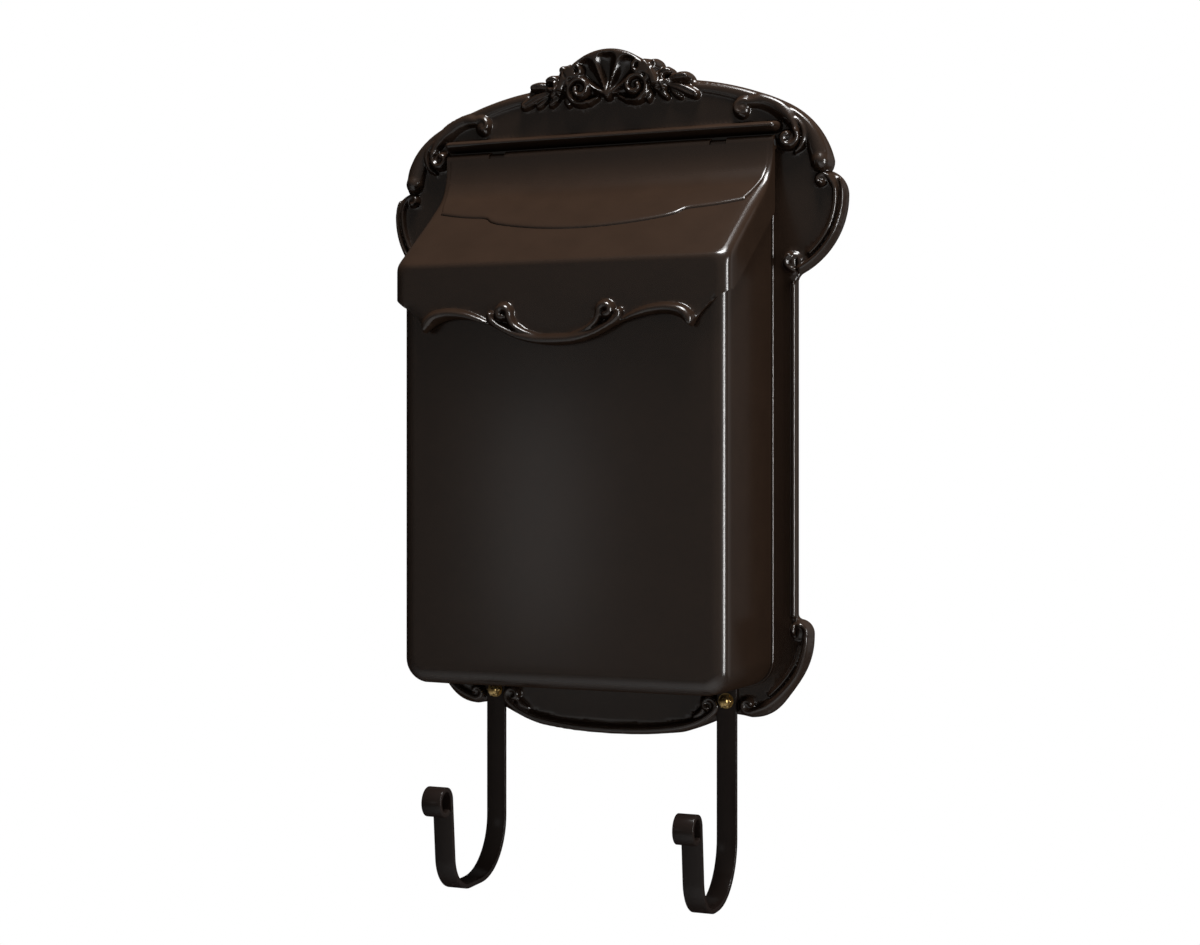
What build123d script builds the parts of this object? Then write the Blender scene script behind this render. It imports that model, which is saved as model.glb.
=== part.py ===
from build123d import *
import os
from math import acos, cos, degrees, radians, sin, sqrt, tan

# Wall mailbox: a cast back plate with scrolled edges, a drafted pan screwed to it from behind,
# a lid on a hidden hinge rod, and two flat-bar newspaper hooks.
# Everything is drawn in elevation, x to the right, y up and z out from the wall, in millimetres
# and degrees from the middle of the plate's back, and stood up in the part's frame at the end.

# Heights from the middle of the plate.
FLOOR_HEIGHT = -170.0
HINGE_HEIGHT = 141.2

# Back plate.
PLATE_THICKNESS = 4.5
RAIL_MARGIN = 14.6
SHOULDER_RADIUS = 51.9
WING_RADIUS = 48.8
CREST_RISE = 51.9
SPRAY_REACH = 53.0
SHELL_REACH = 26.4
FLUTE_WIDTH = 9.5
BULB_WIDTH = 11.5
BULB_RELIEF = 4.0
BULB_TAPER = 40.0
RIM_BAND_WIDTH = 6.4
BEAD_WIDTH = 3.6
BEAD_HEIGHT = 2.0
BEAD_SINK = 0.8
RAIL_BEAD_WIDTH = 3.0
LEDGE_RADIUS = 3.3
LEDGE_REACH = 6.3
LEDGE_GAP = 0.6
LEDGE_INSET = 8.6
WALL_HOLE_DIAMETER = 6.0
WALL_HOLE_SPACING_X = 120.0
WALL_HOLE_SPACING_Y = 180.0
WALL_HOLE_DROP = 99.7

# Pan.
BOX_WIDTH = 200.0
BOX_DEPTH = 78.0
BOX_WALL = 2.5
BOX_TOP_DROP = 24.2
BOX_CORNER_RADIUS = 16.0
BOX_EDGE_RADIUS = 5.5
BOX_DRAFT = 1.6
RIM_LIP = 1.2
RIM_THICKNESS = 2.0
BOSS_WIDTH = 9.0
BOSS_LENGTH = 12.0
BOSS_BLEND = 1.0
BOSS_END_GAP = 25.0
WEEP_HOLE_DIAMETER = 8.0

# Lid.
LID_WALL = 2.6
LID_FRONT_GAP = 2.0
LID_SIDE_GAP = 0.7
LID_REST_GAP = 0.4
LID_DROP = 70.7
LID_SLOPE = 35.5
LID_EDGE_RADIUS = 4.2
LID_CORNER_RADIUS = 5.5
COVE_START = 2.5
CHEEK_DEPTH = 22.0
APRON_DROP = 47.0
PANEL_RAISE = 1.3
PANEL_MARGIN = 9.0

# Hinge.
ROD_DIAMETER = 4.0
ROD_FIT = 0.05
KNUCKLE_RADIUS = 4.2
KNUCKLE_GAP = 0.7
LUG_RADIUS = 3.2
LUG_WIDTH = 9.0
LUG_SPACING = 140.0
LUG_CLEARANCE = 0.6

# Newspaper hooks.
HOOK_INSET = 26.7
STRAP_WIDTH = 12.0
STRAP_THICKNESS = 2.8
STRAP_TOP_GAP = 2.4
HOOK_BACK_BEND = 33.0
HOOK_FRONT_BEND = 21.0
HOOK_LEAN = 5.0
CURL_RADIUS = 7.1
CURL_GAP = 1.3
RIGHT_HOOK_DROP = 293.0
RIGHT_HOOK_REACH = 59.0
RIGHT_TIP_RISE = 53.0
LEFT_HOOK_DROP = 289.0
LEFT_HOOK_REACH = 69.5
LEFT_TIP_RISE = 56.0

# Fasteners.
SCREW_DIAMETER = 4.0
SCREW_CLEARANCE = 0.2
THREAD_FIT = 0.05
SCREW_END_GAP = 0.5
HEAD_ACROSS_FLATS = 7.0
HEAD_HEIGHT = 2.4
RECESS_WIDTH = 11.0
NUT_ACROSS_FLATS = 7.0
NUT_HEX_HEIGHT = 3.2
NUT_DOME_HEIGHT = 2.9
NUT_DOME_TAPER = 35.0
WASHER_DIAMETER = 9.0
WASHER_THICKNESS = 0.8
NUT_DROP = 9.0

# Places that follow from those sizes.
half_box = BOX_WIDTH / 2
draft = tan(radians(BOX_DRAFT))
plate_face = PLATE_THICKNESS
box_front = plate_face + BOX_DEPTH
box_back_top = HINGE_HEIGHT - BOX_TOP_DROP
hinge_out = plate_face + KNUCKLE_GAP + KNUCKLE_RADIUS
ledge_y = HINGE_HEIGHT + KNUCKLE_RADIUS + PANEL_RAISE + LEDGE_GAP + LEDGE_RADIUS
lid_top = HINGE_HEIGHT - LID_DROP
lid_front = box_front + LID_FRONT_GAP + LID_WALL
lid_half = half_box + LID_SIDE_GAP + LID_WALL
barrel_half = lid_half - (hinge_out - plate_face) * draft
slope = radians(LID_SLOPE)
rise = tan(slope)
lid_back = hinge_out + KNUCKLE_RADIUS
cove_top = HINGE_HEIGHT - COVE_START
cove_drop = cove_top - lid_top - (lid_front - lid_back) * rise
cove_radius = cove_drop / (cos(slope) - (1 - sin(slope)) * rise)
cove_out = lid_back + cove_radius * (1 - sin(slope))
rail_x = half_box + RAIL_MARGIN
hook_x = half_box - HOOK_INSET
nut_y = FLOOR_HEIGHT - NUT_DROP
SIDE = Plane(origin=(0, 0, 0), x_dir=(0, 0, 1), z_dir=(-1, 0, 0))
PLAN = Plane(origin=(0, 0, 0), x_dir=(1, 0, 0), z_dir=(0, -1, 0))
MIRROR = Plane.YZ


def both_sides(shapes):
    """Shapes of the right half, with their mirror images."""
    return [*shapes, *[mirror(shape, about=MIRROR) for shape in shapes]]


def polar(centre, radius, angle):
    """A point at an angle, in degrees, round a centre."""
    return (centre[0] + radius * cos(radians(angle)), centre[1] + radius * sin(radians(angle)))


def bead(edges, out, width=BEAD_WIDTH):
    """A raised bead with two sloping sides along tangent edges, on the face at a distance out."""
    path = Wire(edges)
    half = width / 2
    outline = Polyline(
        (-half, -BEAD_SINK), (half, -BEAD_SINK), (half, 0), (0, BEAD_HEIGHT), (-half, 0), close=True)
    section = Plane(origin=path @ 0, x_dir=Vector(0, 0, 1).cross(path % 0), z_dir=path % 0)
    return Pos(0, 0, out) * sweep(section * make_face(outline), path=path)


def scroll(main, head, tail, out=plate_face):
    """A bead along one edge, wound at its ends into volutes by arcs of a radius and a turn each."""
    before = []
    start, heading = main @ 0, -(main % 0)
    for radius, angle in head:
        before.insert(0, JernArc(start, heading, radius, angle))
        start, heading = before[0] @ 1, before[0] % 1
    after = []
    start, heading = main @ 1, main % 1
    for radius, angle in tail:
        after.append(JernArc(start, heading, radius, angle))
        start, heading = after[-1] @ 1, after[-1] % 1
    return bead([*before, main, *after], out)


def leaf(base, tip, width):
    """A carved leaf or flute on the plate, with a ridge down its length and a blunt tip."""
    run = Vector(*tip) - Vector(*base)
    length = run.length
    half = width / 2
    outline = make_face(Polyline(
        (0, 0), (0.7 * length, half), (length, half / 2), (length, -half / 2), (0.7 * length, -half),
        close=True))
    eave = 0.4 * half
    roof = make_face(Polyline((-half, 0), (half, 0), (half, eave), (0, half), (-half, eave), close=True))
    turn = Vector(1, 0).get_signed_angle(run, Vector(0, 0, 1))
    carved = extrude(outline, half) & extrude(Plane.YZ * roof, length)
    return Pos(*base, plate_face) * Rot(0, 0, turn) * carved


def sunk_hole(x, y, recess):
    """A screw hole through the plate, with a recess in the plate's back for a flush head."""
    hole = Circle(SCREW_DIAMETER / 2 + SCREW_CLEARANCE)
    return Pos(x, y, 0) * (extrude(recess, HEAD_HEIGHT) + extrude(hole, PLATE_THICKNESS))


# Outline of the plate's right half, clockwise from the crest to the swag.
crest_top = (0, ledge_y + CREST_RISE)
shell_end = (0.425 * SPRAY_REACH, crest_top[1] - 8.3)
crest_end = (SPRAY_REACH, crest_top[1] - 21)
shoulder_centre = (rail_x - 29.2, HINGE_HEIGHT - 23)
shoulder_top_angle = 64.4
shoulder_top = polar(shoulder_centre, SHOULDER_RADIUS, shoulder_top_angle)
bulb = polar(shoulder_centre, SHOULDER_RADIUS, 13.7)
notch = (bulb[0] - 1.5, bulb[1] - 6.5)
wing_centre = (rail_x - 19.2, HINGE_HEIGHT - 31.2)
wing_side = polar(wing_centre, WING_RADIUS, 0)
wing_foot = polar(wing_centre, WING_RADIUS, -63)
rail_top = (rail_x, wing_foot[1] - 4.5)
rail_foot = (rail_x, FLOOR_HEIGHT + 42)
foot_top = (rail_x + 2.2, rail_foot[1] - 3)
foot_side = (rail_x + 9.4, rail_foot[1] - 12)
foot_turn = (rail_x - 4.6, FLOOR_HEIGHT - 4.5)
foot_low = (hook_x + 13.6, FLOOR_HEIGHT - 18.4)
cusp = (hook_x + 1.2, FLOOR_HEIGHT - 17)
swag_turn = (hook_x - 28.3, FLOOR_HEIGHT - 29.3)
swag_low = (0, FLOOR_HEIGHT - 32.5)
shoulder_slope = (-sin(radians(shoulder_top_angle)), cos(radians(shoulder_top_angle)))
top_edge = TangentArc(shoulder_top, crest_end, tangent=shoulder_slope)


def half_outline():
    """The right half of the plate's edge, from the top of the shell to the bottom of the swag."""
    leaf_joints = [
        shell_end, (0.64 * SPRAY_REACH, crest_top[1] - 12), (0.78 * SPRAY_REACH, crest_top[1] - 16.5),
        crest_end]
    leaf_tops = [
        (0.53 * SPRAY_REACH, crest_top[1] - 6.7), (0.73 * SPRAY_REACH, crest_top[1] - 13.3),
        (0.9 * SPRAY_REACH, crest_top[1] - 15.7)]
    edges = [ThreePointArc(crest_top, (0.55 * shell_end[0], crest_top[1] - 2.3), shell_end)]
    for start, top, end in zip(leaf_joints, leaf_tops, leaf_joints[1:]):
        edges.append(ThreePointArc(start, top, end))
    edges.append(top_edge)
    edges.append(ThreePointArc(shoulder_top, polar(shoulder_centre, SHOULDER_RADIUS, 40), bulb))
    edges.append(ThreePointArc(bulb, (bulb[0] - 0.2, bulb[1] - 3.6), notch))
    edges.append(TangentArc(wing_side, notch, tangent=(0, 1)))
    edges.append(ThreePointArc(wing_side, polar(wing_centre, WING_RADIUS, -30), wing_foot))
    edges.append(ThreePointArc(wing_foot, (rail_x + 0.7, rail_top[1] + 2.2), rail_top))
    edges.append(Line(rail_top, rail_foot))
    edges.append(ThreePointArc(rail_foot, (rail_x + 0.6, rail_foot[1] - 1.9), foot_top))
    edges.append(ThreePointArc(foot_top, (foot_side[0] - 2, foot_side[1] + 6.2), foot_side))
    edges.append(Spline(foot_side, foot_turn, foot_low, tangents=[(0, -1), (-1, 0)]))
    edges.append(ThreePointArc(foot_low, (foot_low[0] - 7, foot_low[1] + 1.1), cusp))
    edges.append(ThreePointArc(cusp, (hook_x - 11.5, FLOOR_HEIGHT - 23.4), swag_turn))
    edges.append(ThreePointArc(swag_turn, (swag_turn[0] / 2, FLOOR_HEIGHT - 31.7), swag_low))
    return edges


def scroll_work():
    """Beads and volutes of the right half: rim band, corner stem, wing, rail, foot and swag."""
    stem = ThreePointArc(
        (half_box - 15, ledge_y + 17.4), (half_box + 4, ledge_y + 12.6), (rail_x + 0.6, HINGE_HEIGHT + 2))
    wing = ThreePointArc(
        polar(wing_centre, WING_RADIUS - 4, 8), polar(wing_centre, WING_RADIUS - 4, -30),
        polar(wing_centre, WING_RADIUS - 4, -64))
    rail = Line((rail_x - 1.9, rail_top[1] - 2), (rail_x - 1.9, rail_foot[1] + 2))
    foot = TangentArc((foot_side[0] - 3, foot_side[1] + 1), (foot_low[0], foot_low[1] + 3), tangent=(0, -1))
    swag = ThreePointArc(
        (0, swag_low[1] + 2.8), (swag_turn[0] / 2, swag_low[1] + 3.6), (swag_turn[0], swag_turn[1] + 3.4))
    return [
        bead([Pos(0, -RIM_BAND_WIDTH / 2) * top_edge], plate_face, RIM_BAND_WIDTH),
        scroll(stem, [(5, 90)], [(4.6, -130)]),
        scroll(wing, [(7.5, 120)], [(5.2, -120)]),
        bead([rail], plate_face, RAIL_BEAD_WIDTH),
        scroll(foot, [(4.8, 110)], []),
        scroll(swag, [], [(22, 45)]),
    ]


def bulb_leaf():
    """Plump leaf that follows the shoulder and swells to a bulb above the notch."""
    inner = SHOULDER_RADIUS - 1.5 - BULB_WIDTH
    middle = SHOULDER_RADIUS - 1.5 - BULB_WIDTH / 2
    tail = polar(shoulder_centre, SHOULDER_RADIUS - 4, 63)
    outer_end = polar(shoulder_centre, SHOULDER_RADIUS - 1.5, 14)
    inner_end = polar(shoulder_centre, inner, 13)
    outline = make_face([
        ThreePointArc(tail, polar(shoulder_centre, SHOULDER_RADIUS - 1.5, 38), outer_end),
        ThreePointArc(outer_end, polar(shoulder_centre, middle, 8), inner_end),
        ThreePointArc(inner_end, polar(shoulder_centre, inner + 4, 38), tail)])
    return extrude(Pos(0, 0, plate_face) * outline, BULB_RELIEF, taper=BULB_TAPER)


def crest():
    """Scallop shell of fanned flutes, with a curl and a spray of leaves on either side."""
    base = (0, crest_top[1] - 26.9)
    shapes = [leaf(base, polar(base, SHELL_REACH, 90), FLUTE_WIDTH)]
    for angle in (66, 42):
        reach = SHELL_REACH - 0.07 * (90 - angle)
        shapes += both_sides([leaf(base, polar(base, reach, angle), FLUTE_WIDTH)])
    spray = [
        leaf((0.41 * SPRAY_REACH, base[1] + 6), (0.57 * SPRAY_REACH, base[1] + 19.4), 9),
        leaf((0.51 * SPRAY_REACH, base[1] + 6), (0.76 * SPRAY_REACH, base[1] + 13), 8),
        leaf((0.62 * SPRAY_REACH, base[1] + 4), (0.96 * SPRAY_REACH, base[1] + 7.6), 8),
        leaf((0.62 * SPRAY_REACH, base[1] + 2), (1.04 * SPRAY_REACH, base[1] - 3), 7)]
    curl = ThreePointArc((11.8, base[1] + 4.7), (17.6, base[1] + 10.5), (23.4, base[1] + 4.7))
    return shapes + both_sides([*spray, bead([curl], plate_face)])


def hinge_lug(x):
    """Lug that stands out from the plate to the hinge rod."""
    barrel = Pos(x, HINGE_HEIGHT, hinge_out) * Rot(0, 90, 0) * Cylinder(LUG_RADIUS, LUG_WIDTH)
    stalk = Pos(x, HINGE_HEIGHT, hinge_out / 2) * Box(LUG_WIDTH, 2 * LUG_RADIUS, hinge_out)
    return barrel + stalk


def back_plate():
    """Cast plate: scrolled outline, drip ledge, scrollwork, crest, hinge lugs and screw holes."""
    right = half_outline()
    plate = extrude(make_face(both_sides(right)), PLATE_THICKNESS)
    ledge_length = 2 * (rail_x - LEDGE_INSET)
    ledge_out = plate_face + LEDGE_REACH - LEDGE_RADIUS
    ledge = Pos(0, ledge_y, ledge_out) * Rot(0, 90, 0) * Cylinder(LEDGE_RADIUS, ledge_length)
    ledge += Pos(0, ledge_y, ledge_out / 2) * Box(ledge_length, 2 * LEDGE_RADIUS, ledge_out)
    lugs = [hinge_lug(x) for x in (-LUG_SPACING / 2, LUG_SPACING / 2)]
    plate += [ledge, *lugs, *both_sides([*scroll_work(), bulb_leaf()]), *crest()]
    rod_hole = Cylinder(ROD_DIAMETER / 2 + ROD_FIT, BOX_WIDTH)
    pocket = RegularPolygon(HEAD_ACROSS_FLATS / 2 + SCREW_CLEARANCE, 6, major_radius=False)
    recess = Rectangle(RECESS_WIDTH, RECESS_WIDTH)
    cuts = [Pos(0, HINGE_HEIGHT, hinge_out) * Rot(0, 90, 0) * rod_hole]
    cuts += [sunk_hole(x, nut_y, pocket) for x in (-hook_x, hook_x)]
    cuts += [sunk_hole(x, y, recess) for x, y in box_screw_places()]
    wall_y = HINGE_HEIGHT - WALL_HOLE_DROP - WALL_HOLE_SPACING_Y / 2
    for place in GridLocations(WALL_HOLE_SPACING_X, WALL_HOLE_SPACING_Y, 2, 2):
        hole = extrude(Circle(WALL_HOLE_DIAMETER / 2), PLATE_THICKNESS)
        cuts.append(Pos(0, wall_y, 0) * place * hole)
    return plate - cuts


def box_screw_places():
    """Centres of the screws that hold the pan: two down each side."""
    x = half_box - BOX_WALL - BOSS_WIDTH / 2 + BOSS_BLEND
    low = FLOOR_HEIGHT + BOX_CORNER_RADIUS + BOSS_WIDTH
    return [(side * x, y) for side in (-1, 1) for y in (low, box_back_top - BOSS_END_GAP)]


def pan_outline(inset):
    """Back outline of the pan, rounded at its two lower corners."""
    half = half_box - inset
    low = FLOOR_HEIGHT + inset
    outline = Polyline((-half, low), (half, low), (half, ledge_y), (-half, ledge_y), close=True)
    return fillet(make_face(outline).vertices().sort_by(Axis.Y)[:2], BOX_CORNER_RADIUS - inset)


def pan_block(inset):
    """Drafted block of the pan's outside, or of its inside when inset by the wall."""
    return extrude(Pos(0, 0, plate_face) * pan_outline(inset), BOX_DEPTH - inset, taper=BOX_DRAFT)


def front_edges(block):
    """Edges round the front of the pan, but for the one that the lid covers."""
    return block.faces().sort_by(Axis.Z)[-1].edges().sort_by(Axis.Y)[:-1]


def box_body():
    """Pan with a rim against the plate, screw bosses inside and a weep hole in its floor."""
    outside = pan_block(0)
    inside = pan_block(BOX_WALL)
    bevel = (2 - sqrt(2)) * (BOX_EDGE_RADIUS - BOX_WALL)
    rim = extrude(Pos(0, 0, plate_face) * pan_outline(-RIM_LIP), RIM_THICKNESS)
    body = fillet(front_edges(outside), BOX_EDGE_RADIUS) + rim - chamfer(front_edges(inside), bevel)
    bosses = []
    holes = []
    for x, y in box_screw_places():
        seat = Pos(x, y, plate_face)
        boss = extrude(seat * Rectangle(BOSS_WIDTH, BOSS_WIDTH), BOSS_LENGTH)
        bosses.append(boss & pan_block(BOX_WALL / 2))
        holes.append(extrude(seat * Circle(SCREW_DIAMETER / 2 + THREAD_FIT), BOSS_LENGTH - BOX_WALL))
    body = body + bosses - holes
    lid_underside = lid_top + (lid_front - box_front) * rise - LID_WALL / cos(slope)
    front_top = lid_underside - LID_REST_GAP
    fall = (box_back_top - front_top) / BOX_DEPTH
    above = Polyline(
        (0, box_back_top + plate_face * fall), (lid_front, front_top - (lid_front - box_front) * fall),
        (lid_front, 2 * ledge_y), (0, 2 * ledge_y), close=True)
    weep = Rot(90, 0, 0) * Cylinder(WEEP_HOLE_DIAMETER / 2, 4 * BOX_WALL)
    weep = Pos(0, FLOOR_HEIGHT, plate_face + BOX_DEPTH / 2) * weep
    return body - [extrude(SIDE * make_face(above), BOX_WIDTH, both=True), weep]


def lid_profile(inset):
    """Side profile under the lid's surface: cove, slope and front."""
    top_out = lid_back - inset
    front = lid_front - inset
    front_top = lid_top - inset / cos(slope) + inset * rise
    cove = JernArc((top_out, cove_top), (0, -1), cove_radius + inset, 90 - LID_SLOPE)
    low = lid_top - 2 * APRON_DROP
    return SIDE * make_face([
        Line((top_out, HINGE_HEIGHT), (top_out, cove_top)), cove,
        Polyline(cove @ 1, (front, front_top), (front, low), (hinge_out, low), (hinge_out, HINGE_HEIGHT),
                 (top_out, HINGE_HEIGHT))])


def slope_profile():
    """Side profile of the slope run straight back to the hinge, and the front."""
    low = lid_top - 2 * APRON_DROP
    return SIDE * make_face(Polyline(
        (hinge_out, low), (lid_front, low), (lid_front, lid_top),
        (hinge_out, lid_top + (lid_front - hinge_out) * rise), close=True))


def lid_plan(inset):
    """Plan of the lid: drafted like the pan, with rounded front corners."""
    back = lid_half - inset
    front = back - (lid_front - plate_face) * draft
    outline = Polyline((-back, plate_face), (back, plate_face), (front, lid_front - inset),
                       (-front, lid_front - inset), close=True)
    return PLAN * fillet(make_face(outline).vertices().sort_by(Axis.Y)[2:], LID_CORNER_RADIUS - inset)


def lid_block(profile, inset):
    """Block with a side profile and the lid's plan."""
    return extrude(profile, BOX_WIDTH, both=True) & extrude(lid_plan(inset), 2 * BOX_WIDTH, both=True)


def panel():
    """Raised panel over the cove and upper slope, with an ogee lower edge that jogs down in the middle."""
    half = barrel_half - PANEL_MARGIN
    top = 2 * HINGE_HEIGHT
    side = (half, lid_top + 36)
    jog_top = (0.6 * half, lid_top + 30)
    jog_foot = (0.55 * half, lid_top + 25.5)
    right = [
        Line((half, top), side),
        ThreePointArc(side, ((side[0] + jog_top[0]) / 2, lid_top + 32.4), jog_top),
        Line(jog_top, jog_foot)]
    left = [mirror(edge, about=MIRROR) for edge in right]
    middle = ThreePointArc(jog_foot, (0, lid_top + 21.5), (-jog_foot[0], jog_foot[1]))
    front_view = make_face([*right, middle, *left, Line((-half, top), (half, top))])
    return extrude(lid_profile(-PANEL_RAISE), BOX_WIDTH, both=True) & extrude(front_view, lid_front)


apron_start = (half_box - 4, lid_top - 24.5)
apron_tail = (half_box - 20, lid_top - 38.5)
apron_arch = (half_box - 38, lid_top - 31)
apron_low = (0, lid_top - APRON_DROP)
apron_swag = (apron_arch[0] / 2, (apron_arch[1] + apron_low[1]) / 2)


def apron_half():
    """Right half of the apron's lower edge: outer scallop, tail, arch and swag."""
    corner = (lid_half, apron_start[1] + 4.5)
    return [
        Line(corner, apron_start),
        TangentArc(apron_start, apron_tail, tangent=(-1, -0.6)),
        TangentArc(apron_arch, apron_tail, tangent=(1, 0)),
        TangentArc(apron_arch, apron_swag, tangent=(-1, 0)),
        TangentArc(apron_low, apron_swag, tangent=(1, 0))]


def apron_beads():
    """Scroll bead along the apron's lower edge, and the curls that spring from it."""
    lift = Pos(0, 0.6 * BEAD_WIDTH)
    rims = [bead([lift * edge], lid_front) for edge in apron_half()[2:]]
    curl = JernArc((apron_swag[0] - 3, apron_swag[1]), (1, 0.45), 14, 70)
    return both_sides([*rims, scroll(curl, [], [(5, 140)], lid_front)])


def lid():
    """Lid casting: skin, cheeks, raised ogee panel, scroll apron and rolled hinge edge."""
    wedge = lid_block(slope_profile(), 0)
    top = wedge.faces().sort_by(lambda face: abs(face.normal_at().Y - cos(slope)))[0]
    wedge = fillet(top.edges().sort_by(Axis.Y)[0], LID_EDGE_RADIUS)
    coved = lid_block(lid_profile(0), 0)
    cove = split(coved, bisect_by=Plane.XY.offset(cove_out), keep=Keep.BOTTOM)
    body = wedge + cove + panel() - lid_block(lid_profile(LID_WALL), LID_WALL)
    cheek_low = lid_top - CHEEK_DEPTH
    cheek_front = box_front + LID_FRONT_GAP / 2
    below = Polyline((0, cheek_low + cheek_front * rise), (cheek_front, cheek_low),
                     (cheek_front, -HINGE_HEIGHT), (0, -HINGE_HEIGHT), close=True)
    right = apron_half()
    wide = right[0] @ 0
    deep = lid_top - 3 * APRON_DROP
    under = Polyline((wide.X, wide.Y), (wide.X, deep), (-wide.X, deep), (-wide.X, wide.Y))
    skirt = [*both_sides(right), under]
    body -= [
        extrude(SIDE * make_face(below), BOX_WIDTH, both=True),
        extrude(Pos(0, 0, box_front) * make_face(skirt), BOX_DEPTH)]
    pivot = Pos(0, HINGE_HEIGHT, hinge_out) * Rot(0, 90, 0)
    body += [*apron_beads(), pivot * Cylinder(KNUCKLE_RADIUS, 2 * barrel_half)]
    span = LUG_WIDTH + 2 * LUG_CLEARANCE
    reach = KNUCKLE_RADIUS + PANEL_RAISE + LUG_CLEARANCE
    skin = Pos(0, HINGE_HEIGHT - reach, hinge_out + reach) * Box(2 * span, 2 * reach, 2 * reach)
    gap = pivot * Cylinder(reach, span) - skin + pivot * Cylinder(LUG_RADIUS + LUG_CLEARANCE, span)
    gaps = [Pos(x, 0, 0) * gap for x in (-LUG_SPACING / 2, LUG_SPACING / 2)]
    return body - [*gaps, pivot * Cylinder(ROD_DIAMETER / 2 + ROD_FIT, 4 * half_box)]


def hinge_rod():
    """Steel rod, as long as the lid's rolled edge."""
    return Pos(0, HINGE_HEIGHT, hinge_out) * Rot(0, 90, 0) * Cylinder(ROD_DIAMETER / 2, 2 * barrel_half)


def hook(x, drop, reach, tip_rise):
    """Flat bar bent to a J that opens to the front, with its tip rolled outwards."""
    out = plate_face + STRAP_THICKNESS / 2
    low = -drop + STRAP_THICKNESS / 2
    strap = Line((out, FLOOR_HEIGHT - STRAP_TOP_GAP), (out, low + HOOK_BACK_BEND))
    back = JernArc(strap @ 1, strap % 1, HOOK_BACK_BEND, 90)
    flat = Line(back @ 1, (out + reach - HOOK_FRONT_BEND, low))
    front = JernArc(flat @ 1, flat % 1, HOOK_FRONT_BEND, 90 - HOOK_LEAN)
    leg = Line(front @ 1, front @ 1 + (front % 1) * (tip_rise - HOOK_FRONT_BEND))
    short_of_leg = (CURL_RADIUS - STRAP_THICKNESS / 2 - CURL_GAP) / (CURL_RADIUS + STRAP_THICKNESS / 2)
    curl = JernArc(leg @ 1, leg % 1, CURL_RADIUS, degrees(acos(short_of_leg)) - 360)
    path = Wire([SIDE * edge for edge in (strap, back, flat, front, leg, curl)])
    start = Plane(origin=path @ 0, x_dir=(1, 0, 0), z_dir=(0, -1, 0))
    bar = sweep(start * Rectangle(STRAP_WIDTH, STRAP_THICKNESS), path=path)
    hole = Pos(0, nut_y, out) * Cylinder(SCREW_DIAMETER / 2 + SCREW_CLEARANCE, 2 * STRAP_THICKNESS)
    return Pos(x, 0, 0) * (bar - hole)


def hexagon_screw(x, y, length):
    """Screw with a hexagon head, flush with the plate's back."""
    head = extrude(RegularPolygon(HEAD_ACROSS_FLATS / 2, 6, major_radius=False), HEAD_HEIGHT)
    return Pos(x, y, 0) * (head + extrude(Circle(SCREW_DIAMETER / 2), length - SCREW_END_GAP))


def hook_bolt(x):
    """Bolt through a hook's strap, whose head can't turn in its pocket in the plate's back."""
    return hexagon_screw(x, nut_y, plate_face + STRAP_THICKNESS + WASHER_THICKNESS + NUT_HEX_HEIGHT)


def box_screw(x, y):
    """Screw through the plate into a boss of the pan, with room for a driver round its head."""
    return hexagon_screw(x, y, plate_face + BOSS_LENGTH - BOX_WALL)


def acorn_nut(x):
    """Brass acorn nut: a hexagon with a tapered cap over a blind bore."""
    seat = plate_face + STRAP_THICKNESS + WASHER_THICKNESS
    hexagon = RegularPolygon(NUT_ACROSS_FLATS / 2, 6, major_radius=False)
    body = extrude(hexagon, NUT_HEX_HEIGHT)
    dome = extrude(Pos(0, 0, NUT_HEX_HEIGHT) * hexagon, NUT_DOME_HEIGHT, taper=NUT_DOME_TAPER)
    bore = Pos(0, 0, NUT_HEX_HEIGHT / 2) * Cylinder(SCREW_DIAMETER / 2 + THREAD_FIT, NUT_HEX_HEIGHT)
    return Pos(x, nut_y, seat) * (body + dome - bore)


def washer(x):
    """Flat brass washer under an acorn nut."""
    ring = Cylinder(WASHER_DIAMETER / 2, WASHER_THICKNESS) - Cylinder(
        SCREW_DIAMETER / 2 + SCREW_CLEARANCE, WASHER_THICKNESS)
    return Pos(x, nut_y, plate_face + STRAP_THICKNESS + WASHER_THICKNESS / 2) * ring


nodes = {
    "back_plate": back_plate(),
    "box_body": box_body(),
    "lid": lid(),
    "hinge_rod": hinge_rod(),
    "hook_left": hook(-hook_x, LEFT_HOOK_DROP, LEFT_HOOK_REACH, LEFT_TIP_RISE),
    "hook_right": hook(hook_x, RIGHT_HOOK_DROP, RIGHT_HOOK_REACH, RIGHT_TIP_RISE),
    "hook_bolts": Compound([hook_bolt(x) for x in (-hook_x, hook_x)]),
    "hook_washers": Compound([washer(x) for x in (-hook_x, hook_x)]),
    "hook_nuts": Compound([acorn_nut(x) for x in (-hook_x, hook_x)]),
    "box_screws": Compound([box_screw(x, y) for x, y in box_screw_places()]),
}
os.makedirs("parts", exist_ok=True)
for name, shape in nodes.items():
    export_step(Plane.XZ * shape, f"parts/{name}.step")
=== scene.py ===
from math import atan2, cos, pi, radians, sin, sqrt, tan

import bmesh
import bpy
import numpy as np
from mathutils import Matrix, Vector
from mathutils.geometry import delaunay_2d_cdt


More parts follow.
